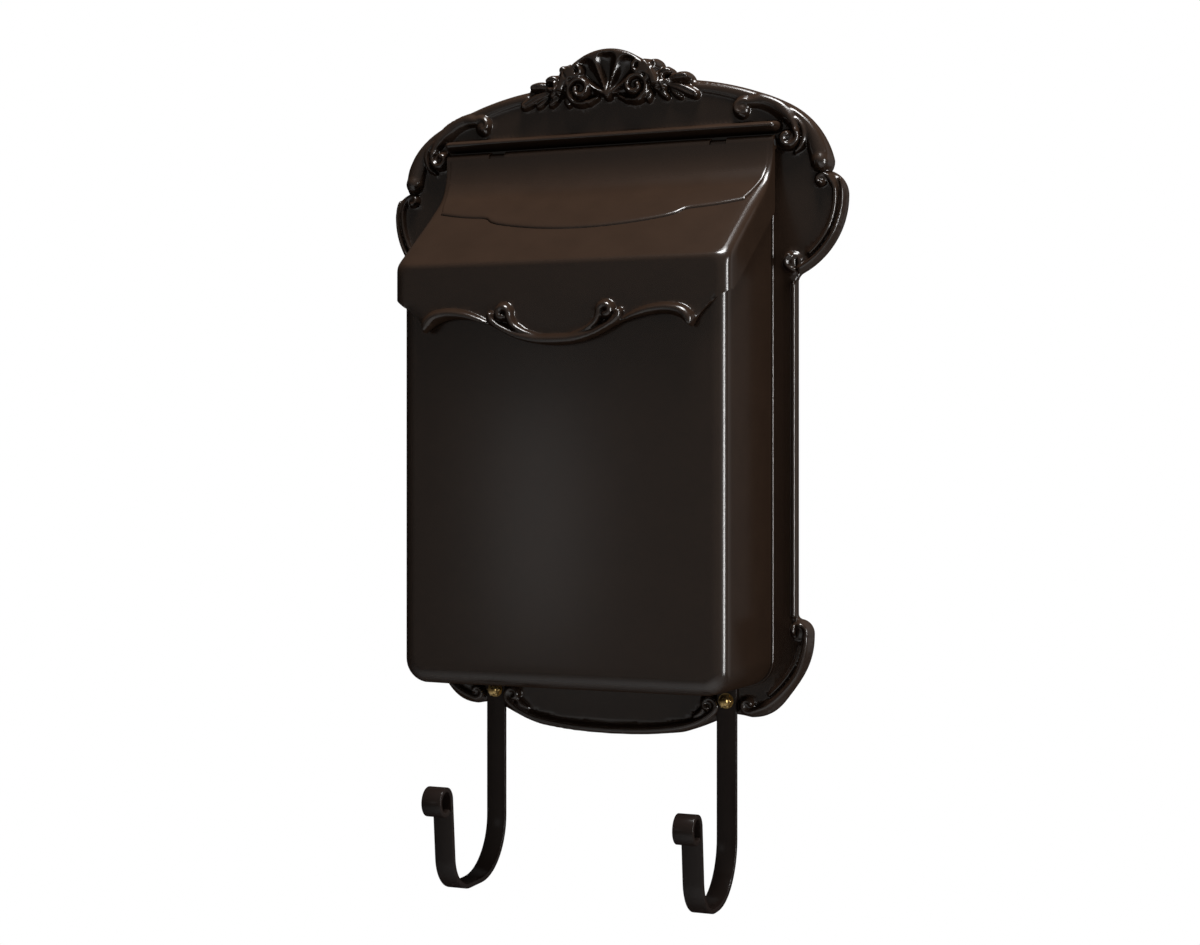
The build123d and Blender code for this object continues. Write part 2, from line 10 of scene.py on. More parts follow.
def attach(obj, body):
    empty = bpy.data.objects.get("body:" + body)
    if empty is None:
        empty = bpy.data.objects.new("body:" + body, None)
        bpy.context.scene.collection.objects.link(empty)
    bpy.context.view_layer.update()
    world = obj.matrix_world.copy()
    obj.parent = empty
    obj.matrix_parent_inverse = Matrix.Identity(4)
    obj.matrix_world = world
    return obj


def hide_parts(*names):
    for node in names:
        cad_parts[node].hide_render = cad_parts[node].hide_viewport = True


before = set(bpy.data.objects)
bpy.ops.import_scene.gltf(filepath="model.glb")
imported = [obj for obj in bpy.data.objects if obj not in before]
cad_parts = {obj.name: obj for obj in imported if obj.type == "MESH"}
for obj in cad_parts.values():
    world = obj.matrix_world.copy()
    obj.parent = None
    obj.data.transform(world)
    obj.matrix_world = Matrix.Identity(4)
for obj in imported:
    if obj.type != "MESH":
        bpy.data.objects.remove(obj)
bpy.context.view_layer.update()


# Back plate: one sand-cast aluminium plate with a scrolled outline, a shell crest and a drip ledge.
# Its carving stands up from a flat face, and the whole plate is coated dark bronze.
# The back lies flat on the wall, with recesses for the heads of the screws that hold the other pieces.

MM = 0.001
PLATE_THICKNESS = 4.5
PLATE_EDGE_ROUND = 2.4
HEAD_DEPTH = 2.4
SCREW_HOLE_RADIUS = 2.2
LEDGE_HEIGHT = 150.6
LEDGE_REACH = 10.5
HINGE_OUT, HINGE_HEIGHT = 9.4, 141.2
ROD_HOLE_RADIUS = 2.05
LUG_PLACE, LUG_HALF_WIDTH, LUG_RADIUS, LUG_NECK, LUG_STEPS = 70.0, 4.5, 3.2, 1.5, 48


class Shade:
    """One value in a finish, carried by a shader node's socket, so that sums read as plain arithmetic."""

    def __init__(self, tree, socket):
        self.tree = tree
        self.socket = socket

    def add(self, kind, settings, sockets, out=0):
        """Another node of the same finish: its type, its settings, then what its sockets take."""
        node = self.tree.nodes.new(kind)
        for name, value in settings.items():
            setattr(node, name, value)
        for name, value in sockets.items():
            if isinstance(value, Shade):
                self.tree.links.new(value.socket, node.inputs[name])
            else:
                node.inputs[name].default_value = value
        return Shade(self.tree, node.outputs[out])

    def sum(self, operation, a, b):
        return self.add("ShaderNodeMath", {"operation": operation}, {0: a, 1: b})

    def __add__(self, other):
        return self.sum("ADD", self, other)

    def __radd__(self, other):
        return self.sum("ADD", other, self)

    def __sub__(self, other):
        return self.sum("SUBTRACT", self, other)

    def __rsub__(self, other):
        return self.sum("SUBTRACT", other, self)

    def __mul__(self, other):
        return self.sum("MULTIPLY", self, other)

    def __rmul__(self, other):
        return self.sum("MULTIPLY", other, self)

    def colour(self, low, high):
        """A colour that runs from one to the other as this value runs from 0 to 1."""
        return self.add("ShaderNodeMix", {"data_type": "RGBA"}, {0: self, 6: (*low, 1), 7: (*high, 1)}, out=2)

    def noise(self, scale, detail=2.0):
        """Mottling over the object, with this value as the place."""
        return self.add("ShaderNodeTexNoise", {}, {"Vector": self, "Scale": scale, "Detail": detail})

    def bump(self, strength, distance):
        """Small surface unevenness with this value as its height."""
        return self.add("ShaderNodeBump", {}, {"Height": self, "Strength": strength, "Distance": distance})


def new_finish(name):
    """A new material, as its places on the object and its surface shader's sockets."""
    material = bpy.data.materials.new(name)
    material.use_nodes = True
    tree = material.node_tree
    place = Shade(tree, tree.nodes.new("ShaderNodeTexCoord").outputs["Object"])
    return material, place, tree.nodes["Principled BSDF"].inputs


def feed(sockets, **values):
    """Sets a surface shader's sockets, from plain numbers or from the finish's own values."""
    for name, value in values.items():
        socket = sockets[name.replace("_", " ")]
        if isinstance(value, Shade):
            value.tree.links.new(value.socket, socket)
        else:
            socket.default_value = value


PATCHES, PEEL, SPECKS = 55.0, 420.0, 2600.0
PEEL_SHEEN, PEEL_HEIGHT, GRAIN_DEPTH = 0.16, 0.6, 0.0001
GLOSS_ROUGHNESS, GLOSS_INDEX = 0.21, 1.9
BRONZE_DARK, BRONZE_LIGHT = (0.0190, 0.0112, 0.0074), (0.0265, 0.0155, 0.0102)


def coated_metal(name, low, high, roughness, grain, gloss):
    """Powder coat: two close colours in soft patches, a satin sheen and a fine grain."""
    material, place, sockets = new_finish(name)
    patches = place.noise(PATCHES, 4.0)
    peel = place.noise(PEEL, 2.0)
    speck = place.noise(SPECKS, 1.0)
    facing = 1 - place.add("ShaderNodeLayerWeight", {}, {"Blend": 0.5}, out=1)
    feed(sockets, Base_Color=patches.colour(low, high), Roughness=roughness + PEEL_SHEEN * (peel - 0.5),
         Coat_Weight=gloss * facing * facing * facing, Coat_Roughness=GLOSS_ROUGHNESS, Coat_IOR=GLOSS_INDEX,
         Specular_IOR_Level=0.0, Normal=(speck + PEEL_HEIGHT * peel).bump(grain, GRAIN_DEPTH))
    return material


bronze_coat = coated_metal("bronze_coat", BRONZE_DARK, BRONZE_LIGHT, roughness=0.44, grain=0.22, gloss=1.0)


CARVING_PITCH, FIELD_PITCH, CARVING_MARGIN = 0.6, 3.0, 0.9
STROKE_FULLNESS, STROKE_BLEND, SOFTENINGS = 0.62, 6, 2
VOLUTE_STEP, EDGE_STRETCH = 9, 24


def through(points, steps=9):
    """A smooth curve through a few points, as a row of close points."""
    row = np.array([points[0], *points, points[-1]], float)
    t = np.linspace(0, 1, steps, endpoint=False)[:, None]
    spans = [
        0.5 * (2 * b + (c - a) * t + (2 * a - 5 * b + 4 * c - d) * t**2 + (3 * b - a - 3 * c + d) * t**3)
        for a, b, c, d in zip(row, row[1:], row[2:], row[3:])]
    return np.vstack([*spans, row[-1:]])


def volute(centre, radii, start, turn):
    """A spiral about a centre, from the first radius to the second, by an angle in degrees."""
    steps = 4 + int(abs(turn) / VOLUTE_STEP)
    angle = np.radians(np.linspace(start, start + turn, steps))
    radius = np.linspace(*radii, steps)
    return np.column_stack([centre[0] + radius * np.cos(angle), centre[1] + radius * np.sin(angle)])


def ridge(path, widths, heights):
    """A stroke of carving: its path, with its half width and its height spread evenly along it."""
    path = np.array(path, float)
    along = np.linspace(0, 1, len(path))
    return (path, np.interp(along, np.linspace(0, 1, len(widths)), widths),
            np.interp(along, np.linspace(0, 1, len(heights)), heights))


def nearest(path, x, z, reach):
    """Points of a face within reach of a path, how far off each is, and where along the path from 0 to 1."""
    low, high = path.min(0) - reach, path.max(0) + reach
    near = np.flatnonzero((x > low[0]) & (x < high[0]) & (z > low[1]) & (z < high[1]))
    far = np.full(len(near), np.inf)
    place = np.zeros(len(near))
    for i, (start, end) in enumerate(zip(path, path[1:])):
        run = end - start
        dx, dz = x[near] - start[0], z[near] - start[1]
        t = np.clip((dx * run[0] + dz * run[1]) / max(run @ run, 1e-9), 0, 1)
        off = np.hypot(dx - t * run[0], dz - t * run[1])
        closer = off < far
        far[closer] = off[closer]
        place[closer] = (i + t[closer]) / (len(path) - 1)
    return near, far, place


def carving(strokes, x, z, spare=0.0):
    """Height of the carving over points of a face: rounded strokes that run softly into one another."""
    rise = np.zeros(len(x))
    for path, width, height in strokes:
        near, far, place = nearest(path, x, z, width.max() + spare)
        along = np.linspace(0, 1, len(path))
        fall = (far / (np.interp(place, along, width) + spare)) ** 2
        stroke = np.interp(place, along, height) * np.maximum(1 - fall, 0) ** STROKE_FULLNESS
        rise[near] = (rise[near]**STROKE_BLEND + stroke**STROKE_BLEND) ** (1 / STROKE_BLEND)
    return rise


def edge_drop(path, x, z, radius):
    """How far a face falls away near its edge, where the edge is rounded."""
    drop = np.zeros(len(x))
    for first in range(0, len(path) - 1, EDGE_STRETCH):
        near, far, _ = nearest(path[first:first + EDGE_STRETCH + 1], x, z, radius)
        into = np.clip(radius - far, 0, radius)
        drop[near] = np.maximum(drop[near], radius - np.sqrt(radius**2 - into**2))
    return drop


def soften(heights, faces):
    """Heights of a sheet eased into their neighbours, except at its edges, as sand softens a casting."""
    sides = [(a, b) for face in faces for a, b in zip(face, face[1:] + face[:1])]
    both = set(sides)
    held = sorted({corner for a, b in both if (b, a) not in both for corner in (a, b)})
    start, end = np.array(sides).T
    neighbours = np.maximum(np.bincount(start, minlength=len(heights)), 1)
    for _ in range(SOFTENINGS):
        softer = (heights + np.bincount(start, heights[end], len(heights)) / neighbours) / 2
        softer[held] = heights[held]
        heights = softer
    return heights


def scatter(relief, low, high):
    """Points over a face: close together where it is carved, and wide apart elsewhere."""
    columns = np.arange(low[0], high[0], CARVING_PITCH)
    rows = np.arange(low[1], high[1], CARVING_PITCH * sqrt(0.75))
    x, z = np.meshgrid(columns, rows)
    x[1::2] += CARVING_PITCH / 2
    skip = int(FIELD_PITCH / CARVING_PITCH)
    spread = np.zeros(x.shape, bool)
    spread[::skip, ::skip] = True
    x, z, spread = x.ravel(), z.ravel(), spread.ravel()
    keep = spread | (relief(np.abs(x), z, CARVING_MARGIN) > 0)
    return np.column_stack([x[keep], z[keep]])


def inside(loop, points):
    """Which points lie within a loop."""
    within = np.zeros(len(points), bool)
    for (x0, z0), (x1, z1) in zip(loop, np.roll(loop, -1, 0)):
        level = (z0 > points[:, 1]) != (z1 > points[:, 1])
        within[level] ^= points[level, 0] < x0 + (points[level, 1] - z0) * (x1 - x0) / (z1 - z0)
    return within


WITHIN_LOOPS, SHEET_WELD = 1, 1e-5


def sheet(loops, points):
    """Triangles over a flat region inside its first loop and outside the others, through more points."""
    edges = []
    first = 0
    for loop in loops:
        edges += [(first + i, first + (i + 1) % len(loop)) for i in range(len(loop))]
        first += len(loop)
        points = points[edge_drop(np.vstack([loop, loop[:1]]), *points.T, CARVING_PITCH / 3) == 0]
    flat = [Vector(point) for point in np.vstack([*loops, points])]
    corners, _, faces, *_ = delaunay_2d_cdt(flat, edges, [], WITHIN_LOOPS, SHEET_WELD)
    corners, faces = np.array([corner[:] for corner in corners]), np.array(faces)
    middles = corners[faces].mean(1)
    keep = inside(loops[0], middles)
    for hole in loops[1:]:
        keep &= ~inside(hole, middles)
    return corners, faces[keep].tolist()


def wall(loop, near, far):
    """A band of faces along a loop between two distances out, each one number or one for every point."""
    count = len(loop)
    ring = np.vstack([
        np.column_stack([loop[:, 0], -np.broadcast_to(near, count), loop[:, 1]]),
        np.column_stack([loop[:, 0], -np.broadcast_to(far, count), loop[:, 1]])])
    return ring, [[i, (i + 1) % count, (i + 1) % count + count, i + count] for i in range(count)]


def stand(flat, out):
    """Points of a face stood up in the part's frame, each at its distance out from the wall."""
    return np.column_stack([flat[:, 0], -np.broadcast_to(out, len(flat)), flat[:, 1]])


WELD = 0.02


def piece(name, parts, finish, sharp=35.0):
    """An object made of sheets of mesh in millimetres, joined where they meet and smooth but for edges."""
    mesh = bmesh.new()
    for points, faces in parts:
        corners = [mesh.verts.new(Vector(point) * MM) for point in points]
        for face in faces:
            mesh.faces.new([corners[i] for i in face])
    bmesh.ops.remove_doubles(mesh, verts=mesh.verts, dist=WELD * MM)
    bmesh.ops.delete(mesh, geom=[v for v in mesh.verts if not v.link_faces], context="VERTS")
    bmesh.ops.recalc_face_normals(mesh, faces=mesh.faces)
    for face in mesh.faces:
        face.smooth = True
    for edge in mesh.edges:
        edge.smooth = edge.calc_face_angle(pi) < radians(sharp)
    data = bpy.data.meshes.new(name)
    mesh.to_mesh(data)
    mesh.free()
    data.materials.append(finish)
    made = bpy.data.objects.new(name, data)
    bpy.context.scene.collection.objects.link(made)
    return made


SAME_POINT, FLAT_BACK = 0.001, 0.01
CORNER_TURN, STRAIGHT_SIDE = 0.3, 15
MOST_RECESS_CORNERS = 6


def back_loops(node):
    """Loops round a CAD node's flat back in millimetres: its outline first, then its holes."""
    mesh = bmesh.new()
    mesh.from_mesh(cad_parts[node].data)
    bmesh.ops.remove_doubles(mesh, verts=mesh.verts, dist=SAME_POINT * MM)
    back = {face for face in mesh.faces if all(abs(v.co.y) < FLAT_BACK * MM for v in face.verts)}
    follows = {}
    for face in back:
        for corner in face.loops:
            if not any(other in back for other in corner.edge.link_faces if other is not face):
                follows[corner.vert] = corner.link_loop_next.vert
    loops = []
    while follows:
        vert = next(iter(follows))
        loop = []
        while vert in follows:
            loop.append((vert.co.x / MM, vert.co.z / MM))
            vert = follows.pop(vert)
        loops.append(np.array(loop))
    mesh.free()
    return sorted(loops, key=lambda loop: -np.ptp(loop, axis=0).sum())


def eased(loop):
    """A loop with a point added in the middle of each side, on a smooth curve wherever there is no corner."""
    before, after, beyond = np.roll(loop, 1, 0), np.roll(loop, -1, 0), np.roll(loop, -2, 0)
    heading = np.arctan2(*(after - loop).T[::-1])
    turn = np.abs((heading - np.roll(heading, 1) + pi) % (2 * pi) - pi)
    corner = turn > CORNER_TURN
    plain = corner | np.roll(corner, -1) | (np.hypot(*(after - loop).T) > STRAIGHT_SIDE)
    middle = np.where(plain[:, None], (loop + after) / 2, (9 * (loop + after) - before - beyond) / 16)
    return np.stack([loop, middle], 1).reshape(-1, 2)


def circle(centre, radius, steps=24):
    """A ring of points round a centre."""
    angle = np.linspace(0, 2 * pi, steps, endpoint=False)
    return np.column_stack([centre[0] + radius * np.cos(angle), centre[1] + radius * np.sin(angle)])


def tube(order, count):
    """Faces of a tube through rings of points, taken in order, with the same count of points in each."""
    return [[a * count + i, a * count + (i + 1) % count, b * count + (i + 1) % count, b * count + i]
            for a, b in zip(order, order[1:]) for i in range(count)]


def collar(left, right, outline, bore):
    """A collar along the hinge line between two places, with an outline round the hinge and a bore."""
    count = len(outline)
    hole = circle((HINGE_OUT, HINGE_HEIGHT), bore, count)
    rings = [(left, outline), (right, outline), (right, hole), (left, hole)]
    points = np.vstack([np.column_stack([np.full(count, x), -ring[:, 0], ring[:, 1]]) for x, ring in rings])
    return points, tube((0, 1, 2, 3, 0), count)


WING_CENTRE = np.array((95.4, 110.0))
SHELL_FOOT, SHELL_REACH, SHELL_SPREAD = 175.0, 24.2, 0.05
SHELL_CROWN, SHELL_CROWN_RISE = 6.2, 1.6
SHELL_RIM, SHELL_RIM_FADE = 6, 2
SHELL_SIDE, SHELL_SIDE_FADE = 86, 5
FLUTE_SPREAD, FLUTE_DEPTH, FLUTE_FULLNESS = 39.0, 5.4, 0.9
FLUTE_START, FLUTE_REACH, FLUTE_ROUNDING, FLUTE_END = 0.45, 1.02, 0.22, 6.0


def round_wing(radius, start, end):
    """Part of a ring round the centre of the plate's wing."""
    return volute(WING_CENTRE, (radius, radius), start, end - start)


def leaf(points, width, height):
    """A plump leaf along a few points, narrow at its foot and rounded at its tip."""
    widths = (0.4 * width, 0.85 * width, width, 0.8 * width)
    return ridge(through(points), widths, (0.65 * height, height, height))


def bud(centre, radius, height):
    """A round bud, nearly a ball."""
    return ridge([centre, (centre[0] + 0.1, centre[1])], (radius, radius), (height, height))


def shell(x, z):
    """Height of the crest's shell: hollow flutes that spread from its foot between round ribs."""
    rise = z - SHELL_FOOT
    away, lean = np.hypot(x, rise), np.degrees(np.arctan2(x, rise))
    reach = SHELL_REACH + SHELL_SPREAD * lean
    part = np.clip(away / reach, 0, 1)
    trough = np.abs(np.cos(pi * lean / FLUTE_SPREAD)) ** FLUTE_FULLNESS
    flute_reach = reach * (FLUTE_REACH - FLUTE_ROUNDING * (1 - trough) ** 2)
    round_end = np.clip((flute_reach - away) / FLUTE_END, 0, 1)
    scoop = np.clip(part / FLUTE_START, 0, 1)
    hollow = FLUTE_DEPTH * scoop**2 * (3 - 2 * scoop) * trough * np.sqrt(1 - (1 - round_end) ** 2)
    within_sides = np.clip((SHELL_SIDE - lean) / SHELL_SIDE_FADE, 0, 1)
    within_rim = np.clip((reach + SHELL_RIM - away) / SHELL_RIM_FADE, 0, 1)
    crown = SHELL_CROWN + SHELL_CROWN_RISE * part
    return np.where(rise > 0, (crown - hollow) * (within_sides * within_rim), 0)


crest_curl = ridge(
    np.vstack([through([(6.8, 174.4), (12.0, 171.8)]), volute((17.6, 179.6), (8.6, 2.2), -118, 500)]),
    (1.4, 2.4, 2.6, 2.5, 2.2), (4.4, 6.8, 7.6, 8.2, 8.4))
crest_lobe = ridge(
    np.vstack([through([(25.6, 183.0), (25.2, 187.4)]), volute((19.8, 190.0), (5.2, 1.8), -20, 300)]),
    (2.2, 2.5, 2.4, 2.0), (7.4, 8.0, 8.2, 7.8))
flower_eye = np.array((33.4, 180.4))
petal_tips = [volute(flower_eye, (4.2, 4.2), angle, 1)[0] for angle in range(10, 360, 72)]
flower = [leaf([flower_eye, tip], 2.3, 6.2) for tip in petal_tips]
flower.append(bud(flower_eye, 1.7, 7.6))
spray = [
    leaf([(24.8, 185.6), (27.2, 189.4), (29.0, 192.4)], 3.9, 6.2),
    leaf([(30.6, 184.6), (35.2, 187.0), (38.6, 187.0)], 3.3, 6.0),
    leaf([(37.0, 181.8), (43.0, 183.4), (48.4, 183.4)], 3.4, 5.6),
    leaf([(36.6, 179.6), (45.0, 177.0), (54.4, 172.4)], 3.5, 5.2),
    leaf([(26.0, 178.0), (26.4, 174.6), (25.4, 171.4)], 2.4, 4.8),
    leaf([(30.8, 177.4), (34.0, 174.4), (36.8, 172.2)], 2.5, 4.6),
    leaf([(38.6, 176.6), (42.4, 173.4), (45.4, 171.6)], 2.2, 3.8)]
veins = [
    ridge(through([(25.8, 187.0), (27.4, 189.8), (28.8, 192.2)]), (0.5, 0.7), (1.0, 1.3)),
    ridge(through([(32.0, 185.4), (35.4, 187.0), (38.4, 187.0)]), (0.5, 0.7), (1.0, 1.3)),
    ridge(through([(38.6, 182.4), (43.0, 183.4), (48.0, 183.4)]), (0.5, 0.7), (1.0, 1.3)),
    ridge(through([(38.6, 179.0), (45.0, 177.0), (53.6, 172.8)]), (0.5, 0.8), (1.0, 1.4))]
rim_band = ridge(
    through([(54, 176.6), (66, 174.6), (78, 171.6), (89, 167.4), (100, 162.8), (108, 156.4)]),
    (2.6, 3.6, 4.4, 4.0), (1.5, 1.6, 1.7))
ledge = ridge([(0, LEDGE_HEIGHT), (102.6, LEDGE_HEIGHT)], (3.3, 3.3), (LEDGE_REACH, LEDGE_REACH))
stem = ridge(
    np.vstack([volute((82.4, 161.6), (2.2, 5.4), 250, -200), through([
        (88.6, 165.8), (94.2, 166.4), (101.0, 164.2), (107.2, 159.6), (112.6, 153.4), (115.6, 146.6)])]),
    (1.8, 2.2, 3.2, 4.6, 5.0, 4.0, 2.4), (5.6, 5.2, 4.2, 3.6, 3.8, 5.0, 5.8))
ledge_curl = ridge(volute((110.4, 143.6), (5.8, 2.2), 42, -300), (2.3, 2.6, 2.6, 2.4), (5.8, 6.2, 6.4, 6.6))
curl_rim = ridge(
    through([(115.0, 154.4), (118.6, 149.6), (119.8, 144.0), (118.0, 138.4), (114.0, 135.2)]),
    (1.2, 1.9, 2.0, 1.8, 1.0), (4.2, 5.0, 5.2, 4.6, 3.4))
shoulder_leaf = ridge(
    through([(111.0, 160.4), (118.0, 154.0), (123.8, 146.2), (127.4, 137.5), (128.8, 130.0)]),
    (1.8, 3.8, 5.6, 6.2, 5.8), (2.4, 3.6, 4.6, 5.2, 5.6))
shoulder_bulb = bud((129.0, 129.2), 5.8, 6.6)
wing_inner = ridge(
    np.vstack([round_wing(42.0, -50, 5), through([(136.2, 116.6), (133.6, 120.6)]),
               volute((130.0, 118.8), (3.4, 1.8), 55, 220)]),
    (1.4, 1.8, 1.9, 1.9, 1.8), (2.4, 3.2, 3.8, 4.8, 5.6))
wing_eye = (112.9, 73.6)
wing_outer = ridge(
    np.vstack([round_wing(46.0, 12, -62), volute(wing_eye, (5.2, 3.6), -52, -185)]),
    (1.0, 1.7, 1.8, 2.0, 2.2), (2.0, 3.0, 3.4, 4.6, 5.4))
rail = ridge([(113.0, 60), (113.0, -129)], (1.5, 1.5), (1.9, 1.9))
foot_eye, tail_eye = (115.8, -137.6), (86.2, -181.0)
foot_outer = ridge(
    np.vstack([volute(foot_eye, (2.2, 5.6), 200, -234), through([
        (120.6, -143), (119.2, -151), (115.0, -162.5), (106.8, -173.0), (97.5, -180.8), (87.5, -185.0)]),
        volute(tail_eye, (4.0, 2.0), 280, -260)]),
    (1.7, 2.0, 2.3, 2.3, 2.1, 1.8), (4.8, 4.4, 4.0, 3.8, 4.2, 4.8))
foot_inner = ridge(
    through([(117.0, -146), (113.4, -157), (106.0, -167.5), (98.5, -175)]),
    (1.0, 1.4, 1.0), (1.6, 2.4, 1.6))
swag_eye = (62.2, -181.8)
swag = ridge(
    np.vstack([through([(0, -199.6), (24, -198.7), (44, -195.9), (56.5, -191.8), (64.5, -186.5)]),
               volute(swag_eye, (4.9, 2.0), -40, 290)]),
    (3.0, 3.0, 2.9, 2.5, 2.0), (4.0, 4.0, 4.2, 4.8, 5.4))
swag_leaf = leaf([(52.5, -189.5), (57.0, -187.0), (59.0, -184.5)], 2.4, 3.4)
eyes = [
    bud((0, SHELL_FOOT), 2.8, 6.6), bud((17.8, 179.4), 7.4, 4.6), bud((82.2, 161.4), 5.0, 4.8),
    bud((110.2, 142.6), 6.2, 4.2), bud((129.8, 118.8), 3.6, 3.2), bud(wing_eye, 5.4, 2.8),
    bud(foot_eye, 5.0, 2.8), bud(tail_eye, 4.0, 2.6), bud(swag_eye, 4.8, 2.8)]
plate_carving = [
    crest_curl, crest_lobe, *flower, *spray, rim_band, ledge, stem, ledge_curl, curl_rim, shoulder_leaf,
    shoulder_bulb, wing_inner, wing_outer, rail, foot_outer, foot_inner, swag, swag_leaf, *eyes]


def plate_relief(x, z, spare=0.0):
    """Height of all the carving on the plate's right half, less the veins cut into its leaves."""
    raised = np.maximum(carving(plate_carving, x, z, spare), shell(x, z))
    return np.maximum(raised - carving(veins, x, z), 0)


outline, *holes = back_loops("back_plate")
outline = eased(eased(outline))
wall_holes = [loop for loop in holes if len(loop) > MOST_RECESS_CORNERS]
recesses = [loop for loop in holes if len(loop) <= MOST_RECESS_CORNERS]
screw_holes = [circle(loop.mean(0), SCREW_HOLE_RADIUS) for loop in recesses]
grid_points = scatter(plate_relief, outline.min(0) - 1, outline.max(0) + 1)
no_points = np.zeros((0, 2))
front, front_faces = sheet([outline, *wall_holes, *screw_holes], grid_points)
edge_path = np.vstack([outline, outline[:1]])
front_out = (PLATE_THICKNESS + plate_relief(np.abs(front[:, 0]), front[:, 1])
             - edge_drop(edge_path, front[:, 0], front[:, 1], PLATE_EDGE_ROUND))
front_out = soften(front_out, front_faces)
back, back_faces = sheet([outline, *wall_holes, *recesses], no_points)
parts = [(stand(front, front_out), front_faces), (stand(back, 0.0), [face[::-1] for face in back_faces])]
edge_out = PLATE_THICKNESS + plate_relief(np.abs(outline[:, 0]), outline[:, 1]) - PLATE_EDGE_ROUND
parts.append(wall(outline, edge_out, 0.0))
parts += [wall(loop, PLATE_THICKNESS, 0.0) for loop in wall_holes]
for recess, hole in zip(recesses, screw_holes):
    seat, seat_faces = sheet([recess, hole], no_points)
    parts.append((stand(seat, HEAD_DEPTH), seat_faces))
    parts += [wall(recess, HEAD_DEPTH, 0.0), wall(hole, PLATE_THICKNESS, HEAD_DEPTH)]
lug_round = circle((0, 0), 1.0, LUG_STEPS)
lug_square = lug_round / np.abs(lug_round).max(1)[:, None]
lug_shape = np.where(lug_round[:, :1] < 0, lug_square * (LUG_NECK, 1), lug_round)
lug_outline = np.array((HINGE_OUT, HINGE_HEIGHT)) + LUG_RADIUS * lug_shape
for place in (-LUG_PLACE, LUG_PLACE):
    parts.append(collar(place - LUG_HALF_WIDTH, place + LUG_HALF_WIDTH, lug_outline, ROD_HOLE_RADIUS))
plate = piece("carved_back_plate", parts, bronze_coat, sharp=50)
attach(plate, "root")
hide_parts("back_plate")


# Pan: a die-cast aluminium box with drafted sides, open at the back and the top.
# Its rim closes on the plate, and four screws from behind the plate run into bosses in its side walls.
# It has the same bronze coat as the plate.

PAN_HALF_WIDTH, PAN_FLOOR, PAN_TOP = 100.0, -170.0, 117.0
PAN_DEPTH, PAN_WALL = 78.0, 2.5
PAN_CORNER_RADIUS, PAN_EDGE_RADIUS = 16.0, 9.0
PAN_FRONT_TOP = 70.1
DRAFT = tan(radians(1.6))
RIM_LIP, RIM_THICKNESS, RIM_CHAMFER, RIM_INSET = 1.2, 2.0, 0.18, 0.1
SIDES_START = 8.0
BOSS_SIZE, BOSS_LENGTH, BOSS_SHARE = 9.0, 12.0, 0.8
BOSS_PLACE, BOSS_HEIGHTS = 94.0, (92.0, -145.0)
SIDE_STEPS, CORNER_STEPS, FLOOR_STEPS, DEPTH_STEPS, EDGE_STEPS = 12, 10, 8, 9, 10


def thick(outer, inner, faces):
    """A wall of metal between two sheets that have the same faces, closed along their free edges."""
    count = len(outer)
    sides = {(a, b) for face in faces for a, b in zip(face, face[1:] + face[:1])}
    free = sorted((a, b) for a, b in sides if (b, a) not in sides)
    inner_faces = [[i + count for i in face[::-1]] for face in faces]
    edge_faces = [[b, a, a + count, b + count] for a, b in free]
    return np.vstack([outer, inner]), [*faces, *inner_faces, *edge_faces]


def quads(rows, columns):
    """Faces of a sheet whose points run in rows."""
    return [[r * columns + c, r * columns + c + 1, (r + 1) * columns + c + 1, (r + 1) * columns + c]
            for r in range(rows - 1) for c in range(columns - 1)]


def pan_section(out, inset):
    """The pan cut through at a distance out from the wall: down one side, along the floor and up."""
    half, low, radius = PAN_HALF_WIDTH - inset, PAN_FLOOR + inset, PAN_CORNER_RADIUS - inset
    top = PAN_TOP + (PAN_FRONT_TOP - PAN_TOP) * (out - PLATE_THICKNESS) / PAN_DEPTH
    side = np.column_stack([np.full(SIDE_STEPS, half), np.linspace(top, low + radius, SIDE_STEPS)])
    corner = circle((half - radius, low + radius), radius, 4 * CORNER_STEPS)[:0:-1][:CORNER_STEPS - 1]
    floor = np.column_stack([np.linspace(half - radius, 0, FLOOR_STEPS), np.full(FLOOR_STEPS, low)])[1:]
    right = np.vstack([side, corner, floor])
    return stand(np.vstack([right * (-1, 1), right[::-1][1:]]), out)


def block(low, high):
    """A plain block of metal between two corners."""
    corners = np.array([[(low, high)[(i >> k) & 1][k] for k in range(3)] for i in range(8)])
    return corners, [[0, 1, 3, 2], [4, 6, 7, 5], [0, 4, 5, 1], [2, 3, 7, 6], [0, 2, 6, 4], [1, 5, 7, 3]]


rim_out = PLATE_THICKNESS + RIM_THICKNESS
edge_start = PLATE_THICKNESS + PAN_DEPTH - PAN_EDGE_RADIUS
edge_inset = (edge_start - PLATE_THICKNESS) * DRAFT
stations = [
    (PLATE_THICKNESS, -RIM_LIP, 0), (rim_out - RIM_CHAMFER, -RIM_LIP, 0),
    (rim_out, RIM_CHAMFER - RIM_LIP, 0), (rim_out, RIM_INSET, 0)]
for out in np.linspace(SIDES_START, edge_start, DEPTH_STEPS):
    stations.append((out, (out - PLATE_THICKNESS) * DRAFT, 0))
for angle in np.linspace(0, pi / 2, EDGE_STEPS + 1)[1:]:
    stations.append((edge_start, edge_inset, angle))
outer_rings, inner_rings = [], []
for out, inset, angle in stations:
    for rings, gone, least_inset in ((outer_rings, 0.0, -RIM_LIP), (inner_rings, PAN_WALL, RIM_INSET)):
        radius = PAN_EDGE_RADIUS - gone
        turned_in = max(inset, least_inset) + gone + radius * (1 - cos(angle))
        rings.append(pan_section(out + radius * sin(angle), turned_in))
columns = len(outer_rings[0])
middle = columns // 2
faces = quads(len(stations), columns)
last = (len(stations) - 1) * columns
for i in range(middle - 1):
    faces.append([last + i, last + i + 1, last + columns - 2 - i, last + columns - 1 - i])
faces.append([last + middle - 1, last + middle, last + middle + 1])
parts = [thick(np.vstack(outer_rings), np.vstack(inner_rings), faces)]
